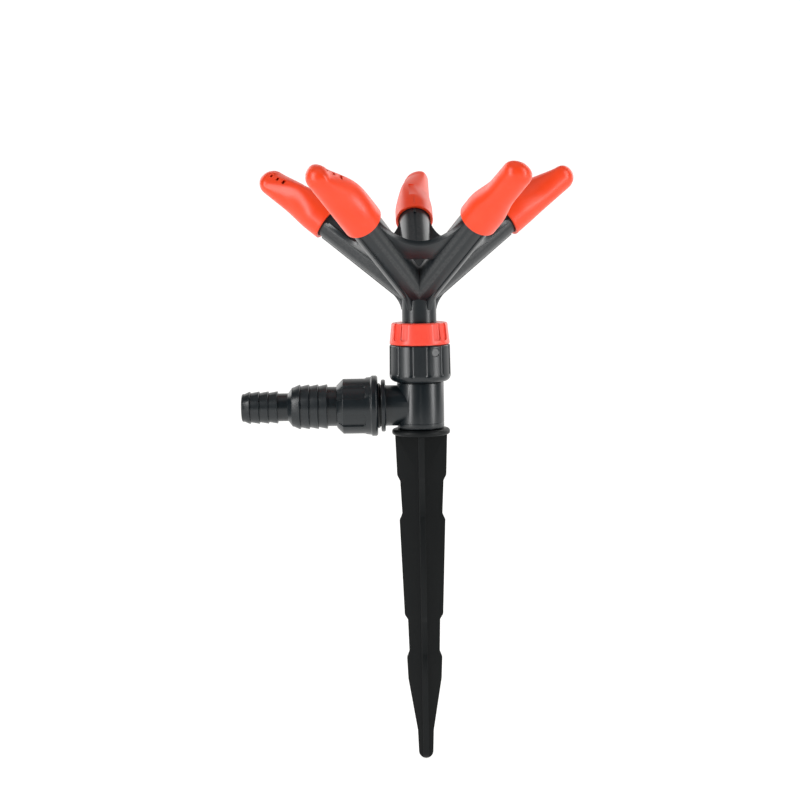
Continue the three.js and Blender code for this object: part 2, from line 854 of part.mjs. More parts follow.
// The cap's section at a distance from its rim, drawn in by inset.
function capSection(distance, inset) {
  const shoulder = smooth(cap.shoulderStart, cap.shoulderEnd, distance);
  const past = (distance - cap.length + cap.slantLength) / cap.slantSoftness;
  const fall = cap.slantSlope * cap.slantSoftness * Math.log(1 + Math.exp(past));
  return {
    halfWidth: THREE.MathUtils.lerp(capRadius, cap.beakHalfWidth, shoulder) - inset,
    centre: cap.beakOffset * shoulder,
    crown: capRadius - fall - inset,
    heel: inset - capRadius,
    sharpness: THREE.MathUtils.lerp(1, cap.crownSharpness, shoulder),
  };
}

// The cap's outside, or its water chamber where inset is the wall. +X is the spray side.
function capBody(from, inset, [bodySteps, tipSteps]) {
  const tipStart = cap.length - cap.tipRounding;
  const tipReach = cap.tipRounding - inset;
  const steps = bodySteps + tipSteps;
  const body = new THREE.CylinderGeometry(1, 1, steps, facets.cap, steps);
  const position = body.attributes.position;
  for (let i = 0; i < position.count; i += 1) {
    const step = Math.round(position.getY(i) + steps / 2);
    const reach = Math.hypot(position.getX(i), position.getZ(i));
    const turn = Math.atan2(position.getZ(i), position.getX(i));
    const tipTurn = (Math.max(0, step - bodySteps) / tipSteps) * radians(cap.tipSweep);
    const along = from + (tipStart - from) * Math.min(1, step / bodySteps);
    const distance = along + tipReach * Math.sin(tipTurn);
    const shrink = Math.cos(tipTurn) * reach;
    const section = capSection(along, inset);
    const side = Math.sin(turn);
    const crownSide = Math.sign(side) * Math.abs(side) ** section.sharpness;
    const onCrown = Math.cos(turn) > 0;
    const height = Math.cos(turn) * (onCrown ? section.crown - section.centre : section.centre - section.heel);
    const tipCentre = (section.crown + section.heel) / 2;
    const level = section.centre + height;
    const x = tipCentre + (level - tipCentre) * shrink;
    const y = section.halfWidth * (onCrown ? crownSide : side) * shrink;
    position.setXYZ(i, x, y, distance);
  }
  return solidOf(body);
}

function capSolid() {
  const boreEnd = head.spigotLength + clearance.slide;
  let solid = capBody(0, 0, capSteps.outside)
    .subtract(solidOf(disc(capBore, -overshoot, boreEnd, facets.arm)))
    .subtract(capBody(boreEnd - overshoot, cap.wall, capSteps.chamber));
  for (const slot of cap.slots) {
    const distance = cap.length - slot.fromTip;
    const tool = block(
      [0, -slot.across / 2, distance - slot.along / 2],
      [2 * capRadius, slot.across / 2, distance + slot.along / 2],
    ).rotateZ(radians(cap.slotTurn)).translate(cap.beakOffset, 0, 0);
    solid = solid.subtract(solidOf(tool));
  }
  return solid;
}

function addCaps() {
  const shape = geometryOf(capSolid());
  const seal = sealRing(grooveFloor(capBore), facets.arm);
  armAngles.forEach((angle, i) => {
    const arm = new THREE.Group();
    arm.applyMatrix4(armFrame(angle));
    sprinkler.add(arm);
    const nozzle = addPiece(arm, `nozzle_cap_${i + 1}`, shape, orange());
    nozzle.position.z = head.rimDistance;
    nozzle.rotation.z = radians(cap.sprayAngle);
    const ring = addPiece(arm, `cap_seal_${i + 1}`, seal, rubber());
    ring.position.z = head.rimDistance + head.sealDistance;
  });
}

addStake();
addTee();
addUnionNut();
addHoseTail();
addSocket();
addRetainer();
addSpindle();
addHead();
addCaps();

export default sprinkler;
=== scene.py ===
import math

import bmesh
import bpy
from mathutils import Matrix, Vector


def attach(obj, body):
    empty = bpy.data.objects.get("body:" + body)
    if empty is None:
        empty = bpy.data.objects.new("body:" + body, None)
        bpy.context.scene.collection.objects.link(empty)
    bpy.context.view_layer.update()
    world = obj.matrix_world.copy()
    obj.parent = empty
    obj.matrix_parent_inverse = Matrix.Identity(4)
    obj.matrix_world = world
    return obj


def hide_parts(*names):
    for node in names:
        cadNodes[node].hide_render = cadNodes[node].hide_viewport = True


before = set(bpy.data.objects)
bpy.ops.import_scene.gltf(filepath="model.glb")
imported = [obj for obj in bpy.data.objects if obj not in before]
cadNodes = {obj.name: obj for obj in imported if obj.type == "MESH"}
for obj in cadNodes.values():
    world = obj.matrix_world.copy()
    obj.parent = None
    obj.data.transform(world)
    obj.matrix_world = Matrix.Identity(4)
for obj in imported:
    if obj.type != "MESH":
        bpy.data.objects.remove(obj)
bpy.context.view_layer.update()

# Five-arm lawn sprinkler on a ground stake. Metres, Z up; the sizes in the dictionaries are
# millimetres. The ground line is z = 0, and the hose inlet points to -X.
mm = 0.001


def clearSelection():
    if bpy.context.object and bpy.context.object.mode != "OBJECT":
        bpy.ops.object.mode_set(mode="OBJECT")
    bpy.ops.object.select_all(action="DESELECT")


def makeActive(piece):
    clearSelection()
    piece.select_set(True)
    bpy.context.view_layer.objects.active = piece


def openForEdit(piece, kind="VERT"):
    makeActive(piece)
    bpy.ops.object.mode_set(mode="EDIT")
    bpy.ops.mesh.select_mode(type=kind)
    bpy.ops.mesh.select_all(action="DESELECT")


def closeEdit():
    bpy.ops.object.mode_set(mode="OBJECT")


def pickVerts(test):
    mesh = bmesh.from_edit_mesh(bpy.context.object.data)
    for vert in mesh.verts:
        vert.select = test(vert)
    mesh.select_flush_mode()
    bmesh.update_edit_mesh(bpy.context.object.data)


def pickFaces(test):
    mesh = bmesh.from_edit_mesh(bpy.context.object.data)
    for face in mesh.faces:
        face.select_set(False)
    for face in mesh.faces:
        if test(face.calc_center_median()):
            face.select_set(True)
    bmesh.update_edit_mesh(bpy.context.object.data)


def pickEdges(test):
    mesh = bmesh.from_edit_mesh(bpy.context.object.data)
    for edge in mesh.edges:
        edge.select_set(False)
    for edge in mesh.edges:
        if test(edge.verts[0].co, edge.verts[1].co):
            edge.select_set(True)
    bmesh.update_edit_mesh(bpy.context.object.data)


def applyModifier(piece, kind, **settings):
    makeActive(piece)
    step = piece.modifiers.new(kind.lower(), kind)
    for key, value in settings.items():
        setattr(step, key, value)
    bpy.ops.object.modifier_apply(modifier=step.name)


def roundEdges(piece, width, sharperThan=30, steps=2):
    applyModifier(piece, "BEVEL", width=width * mm, segments=steps, limit_method="ANGLE",
                  angle_limit=math.radians(sharperThan), use_clamp_overlap=True)


def cutOrAdd(piece, tool, operation, solver="EXACT"):
    applyModifier(piece, "BOOLEAN", object=tool, operation=operation, solver=solver)
    bpy.data.objects.remove(tool)


def placeMesh(piece, matrix):
    makeActive(piece)
    piece.matrix_world = matrix
    bpy.ops.object.transform_apply(location=True, rotation=True, scale=True)


def copyPiece(piece, name):
    twin = piece.copy()
    twin.data = piece.data.copy()
    twin.name = name
    bpy.context.scene.collection.objects.link(twin)
    return twin


def joinPieces(pieces):
    clearSelection()
    for piece in pieces:
        piece.select_set(True)
    bpy.context.view_layer.objects.active = pieces[0]
    bpy.ops.object.join()
    return bpy.context.object


# A turned piece along +Z: a circle pulled from ring to ring and scaled to each radius.
# A solid one keeps its end faces; a hollow one comes back to its first ring.
def turnPiece(name, profile, around=64, hollow=False):
    clearSelection()
    radius, height = profile[0]
    bpy.ops.mesh.primitive_circle_add(vertices=around, radius=radius * mm,
                                      fill_type="NOTHING" if hollow else "NGON")
    piece = bpy.context.object
    piece.name = name
    bpy.ops.object.mode_set(mode="EDIT")
    bpy.ops.mesh.select_mode(type="EDGE")
    bpy.ops.mesh.select_all(action="SELECT")
    bpy.ops.transform.translate(value=(0, 0, height * mm))
    for nextRadius, nextHeight in profile[1:]:
        bpy.ops.mesh.extrude_region_move(
            TRANSFORM_OT_translate={"value": (0, 0, (nextHeight - height) * mm)})
        ratio = nextRadius / radius
        bpy.ops.transform.resize(value=(ratio, ratio, 1), center_override=(0, 0, nextHeight * mm))
        radius, height = nextRadius, nextHeight
    bpy.ops.mesh.select_all(action="SELECT")
    if hollow:
        bpy.ops.mesh.remove_doubles(threshold=0.002 * mm)
    bpy.ops.mesh.normals_make_consistent(inside=False)
    closeEdit()
    return piece


def roundedBlock(name, size, centre, edge, turn=0):
    clearSelection()
    bpy.ops.mesh.primitive_cube_add(size=1)
    block = bpy.context.object
    block.name = name
    bpy.ops.object.mode_set(mode="EDIT")
    bpy.ops.transform.resize(value=[side * mm for side in size])
    bpy.ops.transform.translate(value=[side * mm for side in centre])
    if edge:
        bpy.ops.mesh.bevel(offset=edge * mm, segments=3, affect="EDGES")
    closeEdit()
    if turn:
        placeMesh(block, Matrix.Rotation(math.radians(turn), 4, "Z"))
    return block


def arcPoints(centreRadius, centreHeight, radius, start, end, steps):
    points = []
    for i in range(steps + 1):
        angle = math.radians(start + (end - start) * i / steps)
        points.append((centreRadius + radius * math.cos(angle),
                       centreHeight + radius * math.sin(angle)))
    return points


def offsetAngle(x, y, first, pitch):
    return (math.degrees(math.atan2(y, x)) - first + pitch / 2) % pitch - pitch / 2


# Sinks an even pattern of flutes into a turned piece. Each row is (height, old radius, new radius).
def sinkFlutes(piece, rows, first, pitch, halfAngle, corner):
    low, high = rows[0][0] * mm, rows[-1][0] * mm
    outside = 0.5 * (rows[-1][1] + rows[-1][2]) * mm
    openForEdit(piece, "FACE")
    pickFaces(lambda c: low < c.z < high and c.xy.length > outside
              and abs(offsetAngle(c.x, c.y, first, pitch)) < halfAngle)
    bpy.ops.mesh.extrude_region_move()
    mesh = bmesh.from_edit_mesh(piece.data)
    floor = {vert.index for vert in mesh.verts if vert.select}
    bpy.ops.mesh.select_mode(type="VERT")
    for height, oldRadius, newRadius in rows:
        pickVerts(lambda v: v.index in floor and abs(v.co.z - height * mm) < 0.01 * mm)
        ratio = newRadius / oldRadius
        bpy.ops.transform.resize(value=(ratio, ratio, 1), center_override=(0, 0, height * mm))
    bpy.ops.mesh.select_mode(type="EDGE")
    pickEdges(lambda a, b: abs(a.z - low) < 0.02 * mm and abs(b.z - low) < 0.02 * mm
              and abs(a.xy.length - b.xy.length) > 0.3 * mm
              and abs(abs(offsetAngle(a.x, a.y, first, pitch)) - halfAngle) < 0.5
              and abs(abs(offsetAngle(b.x, b.y, first, pitch)) - halfAngle) < 0.5)
    bpy.ops.mesh.bevel(offset=corner * mm, segments=4, affect="EDGES")
    closeEdit()


def finishPiece(piece, node, body, material, smoothAngle=35):
    makeActive(piece)
    piece.data.materials.clear()
    piece.data.materials.append(material)
    bpy.ops.object.shade_smooth_by_angle(angle=math.radians(smoothAngle))
    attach(piece, body)
    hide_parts(node)


# Finishes

def groupSocket(group, name, direction, kind="NodeSocketFloat", value=None):
    socket = group.interface.new_socket(name=name, in_out=direction, socket_type=kind)
    if value is not None:
        socket.default_value = value


# Moulded skin: slow cloudy tone, faint flow streaks and a fine grain for the bump.
def makeMouldSkin():
    group = bpy.data.node_groups.new("mouldSkin", "ShaderNodeTree")
    groupSocket(group, "Vector", "INPUT", "NodeSocketVector")
    groupSocket(group, "Cloud Scale", "INPUT", value=60.0)
    groupSocket(group, "Streak Scale", "INPUT", value=220.0)
    groupSocket(group, "Grain Scale", "INPUT", value=2600.0)
    groupSocket(group, "Tone", "OUTPUT")
    groupSocket(group, "Height", "OUTPUT")
    nodes, links = group.nodes, group.links
    source = nodes.new("NodeGroupInput")
    result = nodes.new("NodeGroupOutput")
    cloud = nodes.new("ShaderNodeTexNoise")
    cloud.inputs["Detail"].default_value = 4
    cloud.inputs["Roughness"].default_value = 0.55
    stretch = nodes.new("ShaderNodeMapping")
    stretch.inputs["Scale"].default_value = (1, 1, 0.16)
    streak = nodes.new("ShaderNodeTexNoise")
    streak.inputs["Detail"].default_value = 2
    grain = nodes.new("ShaderNodeTexNoise")
    grain.inputs["Detail"].default_value = 3
    grain.inputs["Roughness"].default_value = 0.7
    pits = nodes.new("ShaderNodeTexVoronoi")
    mixTone = nodes.new("ShaderNodeMix")
    mixTone.inputs["Factor"].default_value = 0.4
    mixHeight = nodes.new("ShaderNodeMix")
    mixHeight.inputs["Factor"].default_value = 0.35
    links.new(source.outputs["Vector"], cloud.inputs["Vector"])
    links.new(source.outputs["Cloud Scale"], cloud.inputs["Scale"])
    links.new(source.outputs["Vector"], stretch.inputs["Vector"])
    links.new(stretch.outputs["Vector"], streak.inputs["Vector"])
    links.new(source.outputs["Streak Scale"], streak.inputs["Scale"])
    links.new(source.outputs["Vector"], grain.inputs["Vector"])
    links.new(source.outputs["Grain Scale"], grain.inputs["Scale"])
    links.new(source.outputs["Vector"], pits.inputs["Vector"])
    links.new(source.outputs["Grain Scale"], pits.inputs["Scale"])
    links.new(cloud.outputs["Fac"], mixTone.inputs["A"])
    links.new(streak.outputs["Fac"], mixTone.inputs["B"])
    links.new(grain.outputs["Fac"], mixHeight.inputs["A"])
    links.new(pits.outputs["Distance"], mixHeight.inputs["B"])
    links.new(mixTone.outputs["Result"], result.inputs["Tone"])
    links.new(mixHeight.outputs["Result"], result.inputs["Height"])
    return group


# Painted edge highlight: a mask from how sharply the surface turns, broken up by noise, that
# lightens the colour along edges to stand in for the light the edges catch.
def makePaintedEdgeHighlight():
    group = bpy.data.node_groups.new("paintedEdgeHighlight", "ShaderNodeTree")
    groupSocket(group, "Vector", "INPUT", "NodeSocketVector")
    groupSocket(group, "Break Scale", "INPUT", value=900.0)
    groupSocket(group, "Start", "INPUT", value=0.53)
    groupSocket(group, "Full", "INPUT", value=0.62)
    groupSocket(group, "Mask", "OUTPUT")
    nodes, links = group.nodes, group.links
    source = nodes.new("NodeGroupInput")
    result = nodes.new("NodeGroupOutput")
    geometry = nodes.new("ShaderNodeNewGeometry")
    edge = nodes.new("ShaderNodeMapRange")
    breakUp = nodes.new("ShaderNodeTexNoise")
    breakUp.inputs["Detail"].default_value = 3
    clear = nodes.new("ShaderNodeMapRange")
    clear.inputs["From Min"].default_value = 0.3
    clear.inputs["From Max"].default_value = 0.6
    clear.inputs["To Min"].default_value = 0.35
    product = nodes.new("ShaderNodeMath")
    product.operation = "MULTIPLY"
    links.new(geometry.outputs["Pointiness"], edge.inputs["Value"])
    links.new(source.outputs["Start"], edge.inputs["From Min"])
    links.new(source.outputs["Full"], edge.inputs["From Max"])
    links.new(source.outputs["Vector"], breakUp.inputs["Vector"])
    links.new(source.outputs["Break Scale"], breakUp.inputs["Scale"])
    links.new(breakUp.outputs["Fac"], clear.inputs["Value"])
    links.new(edge.outputs["Result"], product.inputs[0])
    links.new(clear.outputs["Result"], product.inputs[1])
    links.new(product.outputs["Value"], result.inputs["Mask"])
    return group


# Sparse fine dust specks.
def makeSpecks():
    group = bpy.data.node_groups.new("specks", "ShaderNodeTree")
    groupSocket(group, "Vector", "INPUT", "NodeSocketVector")
    groupSocket(group, "Scale", "INPUT", value=700.0)
    groupSocket(group, "Size", "INPUT", value=0.09)
    groupSocket(group, "Mask", "OUTPUT")
    nodes, links = group.nodes, group.links
    source = nodes.new("NodeGroupInput")
    result = nodes.new("NodeGroupOutput")
    cells = nodes.new("ShaderNodeTexVoronoi")
    spot = nodes.new("ShaderNodeMapRange")
    spot.inputs["From Min"].default_value = 0
    spot.inputs["To Min"].default_value = 1
    spot.inputs["To Max"].default_value = 0
    patch = nodes.new("ShaderNodeTexNoise")
    patch.inputs["Scale"].default_value = 90
    where = nodes.new("ShaderNodeMapRange")
    where.inputs["From Min"].default_value = 0.5
    where.inputs["From Max"].default_value = 0.66
    product = nodes.new("ShaderNodeMath")
    product.operation = "MULTIPLY"
    links.new(source.outputs["Vector"], cells.inputs["Vector"])
    links.new(source.outputs["Scale"], cells.inputs["Scale"])
    links.new(cells.outputs["Distance"], spot.inputs["Value"])
    links.new(source.outputs["Size"], spot.inputs["From Max"])
    links.new(source.outputs["Vector"], patch.inputs["Vector"])
    links.new(patch.outputs["Fac"], where.inputs["Value"])
    links.new(spot.outputs["Result"], product.inputs[0])
    links.new(where.outputs["Result"], product.inputs[1])
    links.new(product.outputs["Value"], result.inputs["Mask"])
    return group


mouldSkin = makeMouldSkin()
paintedEdgeHighlight = makePaintedEdgeHighlight()
specks = makeSpecks()


def colourMix(nodes, links, factor, first, second):
    mix = nodes.new("ShaderNodeMix")
    mix.data_type = "RGBA"
    links.new(factor, mix.inputs[0])
    for socket, value in ((mix.inputs[6], first), (mix.inputs[7], second)):
        if isinstance(value, tuple):
            socket.default_value = (*value, 1)
        else:
            links.new(value, socket)
    return mix.outputs[2]


def makePlastic(name, look):
    material = bpy.data.materials.new(name)
    material.use_nodes = True
    nodes, links = material.node_tree.nodes, material.node_tree.links
    shader = nodes["Principled BSDF"]
    place = nodes.new("ShaderNodeTexCoord")
    skin = nodes.new("ShaderNodeGroup")
    skin.node_tree = mouldSkin
    skin.inputs["Cloud Scale"].default_value = look["cloudScale"]
    skin.inputs["Streak Scale"].default_value = look["streakScale"]
    skin.inputs["Grain Scale"].default_value = look["grainScale"]
    highlightEdges = nodes.new("ShaderNodeGroup")
    highlightEdges.node_tree = paintedEdgeHighlight
    highlightEdges.inputs["Start"].default_value = look["edgeHighlightStart"]
    highlightEdges.inputs["Full"].default_value = look["edgeHighlightFull"]
    dust = nodes.new("ShaderNodeGroup")
    dust.node_tree = specks
    dust.inputs["Size"].default_value = look["speckSize"]
    for part in (skin, highlightEdges, dust):
        links.new(place.outputs["Object"], part.inputs["Vector"])
    tone = colourMix(nodes, links, skin.outputs["Tone"], look["shade"], look["colour"])
    # The colour is lightened along sharp edges here: a painted edge highlight.
    withEdgeHighlight = colourMix(nodes, links, highlightEdges.outputs["Mask"], tone, look["edgeHighlightColour"])
    dusty = colourMix(nodes, links, dust.outputs["Mask"], withEdgeHighlight, look["speckColour"])
    links.new(dusty, shader.inputs["Base Color"])
    gloss = nodes.new("ShaderNodeMapRange")
    gloss.inputs["From Min"].default_value = 0.3
    gloss.inputs["From Max"].default_value = 0.7
    gloss.inputs["To Min"].default_value = look["roughness"][0]
    gloss.inputs["To Max"].default_value = look["roughness"][1]
    links.new(skin.outputs["Tone"], gloss.inputs["Value"])
    links.new(gloss.outputs["Result"], shader.inputs["Roughness"])
    bump = nodes.new("ShaderNodeBump")
    bump.inputs["Strength"].default_value = look["bumpStrength"]
    bump.inputs["Distance"].default_value = look["bumpDepth"] * mm
    links.new(skin.outputs["Height"], bump.inputs["Height"])
    links.new(bump.outputs["Normal"], shader.inputs["Normal"])
    shader.inputs["Specular IOR Level"].default_value = look["shine"]
    shader.inputs["Subsurface Weight"].default_value = look.get("glow", 0)
    shader.inputs["Subsurface Radius"].default_value = (1, 0.35, 0.15)
    shader.inputs["Subsurface Scale"].default_value = 1.2 * mm
    return material


# Each look's edge colour is a painted edge highlight, lighter than its base colour.
charcoalLook = {
    "colour": (0.0062, 0.0105, 0.0135), "shade": (0.0042, 0.0072, 0.0092),
    "edgeHighlightColour": (0.030, 0.033, 0.035), "speckColour": (0.05, 0.053, 0.056),
    "cloudScale": 55, "streakScale": 240, "grainScale": 2400,
    "edgeHighlightStart": 0.57, "edgeHighlightFull": 0.72, "speckSize": 0.05,
    "roughness": (0.27, 0.35), "bumpStrength": 0.07, "bumpDepth": 0.05, "shine": 0.55,
}
stakeLook = dict(charcoalLook, colour=(0.0030, 0.0045, 0.0050), shade=(0.0020, 0.0030, 0.0034),
                 edgeHighlightColour=(0.02, 0.022, 0.023), roughness=(0.42, 0.54), bumpStrength=0.2,
                 grainScale=1900, shine=0.22)
# The lighter orange edge colour is a painted edge highlight.
orangeLook = {
    "colour": (0.94, 0.068, 0.015), "shade": (0.88, 0.052, 0.010),
    "edgeHighlightColour": (1.0, 0.25, 0.13), "speckColour": (0.75, 0.12, 0.06),
    "cloudScale": 70, "streakScale": 260, "grainScale": 2600,
    "edgeHighlightStart": 0.54, "edgeHighlightFull": 0.7, "speckSize": 0.05,
    "roughness": (0.30, 0.38), "bumpStrength": 0.05, "bumpDepth": 0.04, "shine": 0.45, "glow": 0.08,
}
coralLook = dict(orangeLook, colour=(0.96, 0.09, 0.055), shade=(0.88, 0.062, 0.035),
                 edgeHighlightColour=(1.0, 0.26, 0.2))
rubberLook = dict(charcoalLook, colour=(0.012, 0.012, 0.012), shade=(0.008, 0.008, 0.008),
                  edgeHighlightColour=(0.03, 0.03, 0.03), roughness=(0.68, 0.8), grainScale=1500)
acetalLook = dict(charcoalLook, colour=(0.8, 0.78, 0.71), shade=(0.74, 0.72, 0.65),
                  edgeHighlightColour=(0.86, 0.85, 0.8), speckColour=(0.6, 0.58, 0.52), roughness=(0.3, 0.4))

charcoal = makePlastic("charcoalPlastic", charcoalLook)
stakeBlack = makePlastic("stakePlastic", stakeLook)
orange = makePlastic("orangePlastic", orangeLook)
coral = makePlastic("coralPlastic", coralLook)
rubber = makePlastic("sealRubber", rubberLook)
acetal = makePlastic("bearingAcetal", acetalLook)

for nodeName, node in cadNodes.items():
    if "seal" in nodeName or nodeName in ("inlet_washer", "socket_washer"):
        finish = rubber
    elif "spindle" in nodeName or "thrust" in nodeName:
        finish = acetal
    elif "cap" in nodeName:
        finish = orange
    else:
        finish = charcoal
    node.data.materials.clear()
    node.data.materials.append(finish)
print("finishes ready")

# Ground stake

stake = {
    "thickness": 2.5,
    "halfWidths": [(-1.1, 11.7), (18.2, 11.05), (18.9, 10.8), (21.0, 9.75), (35.8, 9.05),
                   (36.8, 9.35), (38.9, 10.3), (81.7, 8.75), (82.5, 8.55), (84.5, 7.3),
                   (99.1, 6.9), (99.9, 7.1), (102.2, 8.0), (111.8, 7.6), (136.0, 3.65),
                   (145.9, 3.3)],  # depth below the ground line, half the blade's width
    "tipRadius": 3.3, "tipEnd": 149.2, "tipTurn": 84, "tipSteps": 8,
    "flangeRadius": 13, "flangeHeight": 2.6, "flangeEdge": 1.1,
    "plugRadius": 7, "plugTop": 7.9, "grooveFloor": 5.8, "groove": (5.2, 7.0),
    "edge": 0.35,
}


def makeBlade(name):
    clearSelection()
    bpy.ops.mesh.primitive_plane_add(size=1)
    blade = bpy.context.object
    blade.name = name
    bpy.ops.object.mode_set(mode="EDIT")
    depth, half = stake["halfWidths"][0]
    bpy.ops.transform.resize(value=(2 * half * mm, stake["thickness"] * mm, 1))
    bpy.ops.transform.translate(value=(0, 0, -depth * mm))
    tip, end = stake["tipRadius"], stake["tipEnd"]
    stations = list(stake["halfWidths"][1:])
    for step in range(1, stake["tipSteps"] + 1):
        turn = math.radians(stake["tipTurn"] * step / stake["tipSteps"])
        stations.append((end - tip + tip * math.sin(turn), tip * math.cos(turn)))
    for nextDepth, nextHalf in stations:
        bpy.ops.mesh.extrude_region_move(
            TRANSFORM_OT_translate={"value": (0, 0, (depth - nextDepth) * mm)})
        bpy.ops.transform.resize(value=(nextHalf / half, 1, 1),
                                 center_override=(0, 0, -nextDepth * mm))
        depth, half = nextDepth, nextHalf
    bpy.ops.mesh.select_all(action="SELECT")
    bpy.ops.mesh.normals_make_consistent(inside=False)
    closeEdit()
    return blade


def makeStake():
    size = stake
    blade = makeBlade("groundStake")
    second = copyPiece(blade, "secondBlade")
    placeMesh(second, Matrix.Rotation(math.pi / 2, 4, "Z"))
    cutOrAdd(blade, second, "UNION")
    roundEdges(blade, size["edge"], steps=3)
    rim = size["flangeRadius"] - size["flangeEdge"]
    low, high = size["groove"]
    flange = turnPiece("stakeFlange", [
        (rim - 1, 0), *arcPoints(rim, size["flangeEdge"], size["flangeEdge"], -85, 0, 5),
        *arcPoints(rim, size["flangeHeight"] - size["flangeEdge"], size["flangeEdge"], 0, 85, 5),
        (size["plugRadius"] + 0.4, size["flangeHeight"]),
        (size["plugRadius"], size["flangeHeight"] + 0.3),
        (size["plugRadius"], low), (size["grooveFloor"], low), (size["grooveFloor"], high),
        (size["plugRadius"], high), (size["plugRadius"], size["plugTop"] - 0.4),
        (size["plugRadius"] - 0.4, size["plugTop"]),
    ], 72)
    cutOrAdd(blade, flange, "UNION")
    finishPiece(blade, "ground_stake", "base", stakeBlack)
    print("ground stake ready")


makeStake()

# Inlet tee

tee = {
    "bodyRadius": 10.5, "bottom": 2.85, "shoulder": 23.6, "top": 33.4, "bore": 7.3,
    "ringLine": 5.2, "branchHeight": 13.1, "branchRadius": 9.1, "branchEnd": 29.7,
    "stopRing": (15.7, 17.7, 11.7), "throat": 4.6, "throatEnd": 11, "inletBore": 6.6,
    "threadRoot": 9.3, "threadCrest": 10.1, "pitch": 1.814, "crestWidth": 0.5,
}

toInlet = (Matrix.Translation((0, 0, tee["branchHeight"] * mm))
           @ Matrix.Rotation(-math.pi / 2, 4, "Y"))


def threadPoints(low, high):
    size = tee
    flank = (size["pitch"] - 2 * size["crestWidth"]) / 2
    points = [(size["threadRoot"], low)]
    for turn in range(int((high - low) / size["pitch"])):
        start = low + turn * size["pitch"]
        points.append((size["threadRoot"], start + size["crestWidth"] / 2))
        points.append((size["threadCrest"], start + size["crestWidth"] / 2 + flank))
        points.append((size["threadCrest"], start + 1.5 * size["crestWidth"] + flank))
    points.append((size["threadRoot"], high))
    return points


def makeTee():
    size = tee
    body, line = size["bodyRadius"], size["ringLine"]
    column = turnPiece("inletTee", [
        (body - 0.5, size["bottom"]), (body - 0.15, size["bottom"] + 0.15),
        (body, size["bottom"] + 0.5),
        (body, line), (body - 0.12, line + 0.12), (body - 0.12, line + 0.3), (body, line + 0.42),
        (body, size["shoulder"] - 0.5), (body - 0.15, size["shoulder"] - 0.15),
        (body - 0.5, size["shoulder"]), *threadPoints(size["shoulder"], size["top"]),
    ], 96)
    start, end, radius = size["stopRing"]
    branchBody = size["branchRadius"]
    branch = turnPiece("teeBranch", [
        (branchBody, 0), (branchBody, start - 0.25), (branchBody + 0.25, start),
        (radius - 0.6, start + 0.05), (radius - 0.15, start + 0.25), (radius, start + 0.7),
        (radius, end - 0.7), (radius - 0.15, end - 0.25), (radius - 0.6, end - 0.05),
        *threadPoints(end, size["branchEnd"]),
    ], 80)
    placeMesh(branch, toInlet)
    cutOrAdd(column, branch, "UNION")
    bore = turnPiece("teeBore", [(size["bore"], size["bottom"] - 1),
                                 (size["bore"], size["top"] + 1)], 64)
    cutOrAdd(column, bore, "DIFFERENCE")
    inletBore = turnPiece("teeInletBore", [
        (size["throat"], 0), (size["throat"], size["throatEnd"]),
        (size["inletBore"], size["throatEnd"]),
        (size["inletBore"], size["branchEnd"] + 1),
    ], 64)
    placeMesh(inletBore, toInlet)
    cutOrAdd(column, inletBore, "DIFFERENCE")
    finishPiece(column, "inlet_tee", "base", charcoal)
    print("inlet tee ready")


makeTee()

# Union nut and hose tail, turned along the inlet

nut = {
    "start": 19.2, "flangeEnd": 22.3, "flangeRadius": 13.55, "bodyRadius": 12.7,
    "rootRadius": 12.95,
    "coneStart": 34.5, "end": 37.4, "coneRadius": 9.75, "threadBore": 10.4, "pipeBore": 9.15,
    "wallStart": 34.0, "fluteStart": 24.5, "fluteDepth": 0.9, "fluteCorner": 1.2, "fluteTurn": -55,
    "edge": 0.28,
}


def makeNut():
    size = nut
    body, depth = size["bodyRadius"], size["fluteDepth"]
    piece = turnPiece("unionNut", [
        (size["threadBore"], size["start"]), (size["flangeRadius"] - 0.6, size["start"]),
        (size["flangeRadius"], size["start"] + 0.6),
        (size["flangeRadius"], size["flangeEnd"] - 0.6),
        (size["rootRadius"], size["flangeEnd"]), (body, size["fluteStart"]),
        (body, size["coneStart"]),
        (size["coneRadius"], size["end"]), (size["pipeBore"], size["end"]),
        (size["pipeBore"], size["wallStart"]), (size["threadBore"], size["wallStart"]),
        (size["threadBore"], size["start"]),
    ], 48, hollow=True)
    rows = [(size["fluteStart"], body, body - depth), (size["coneStart"], body, body - depth),
            (size["end"], size["coneRadius"], size["coneRadius"] - 0.4)]
    sinkFlutes(piece, rows, 0, 60, 15, size["fluteCorner"])
    roundEdges(piece, size["edge"], 20, 3)
    placeMesh(piece, toInlet @ Matrix.Rotation(math.radians(size["fluteTurn"]), 4, "Z"))
    finishPiece(piece, "union_nut", "nut", charcoal, 40)
    print("union nut ready")


makeNut()

hoseTail = {
    "flange": (31.8, 33.75, 10.1), "pipeRadius": 8.85,
    "large": {"first": 41.7, "pitch": 4.03, "peak": 10, "valley": 9.2},
    "small": {"first": 63.9, "pitch": 4.1, "peak": 7.25, "valley": 6.55},
    "nose": (56.6, 57.4, 59.0), "neckRadius": 6.25, "end": 80, "endRounding": 0.7,
    "bore": 4.4, "rearBore": 6.6, "boreStep": (52, 56),
}


# Sawtooth rings: a steep face towards the nut, a small land, then a slope to the hose end.
def barbPoints(teeth, foot):
    points = [(foot, teeth["first"] - 0.1)]
    for i in range(4):
        start = teeth["first"] + i * teeth["pitch"]
        points.append((teeth["peak"] - 0.12, start))
        points.append((teeth["peak"], start + 0.12))
        points.append((teeth["peak"] - 0.05, start + 0.45))
        if i < 3:
            points.append((teeth["valley"], start + teeth["pitch"] - 0.15))
    return points


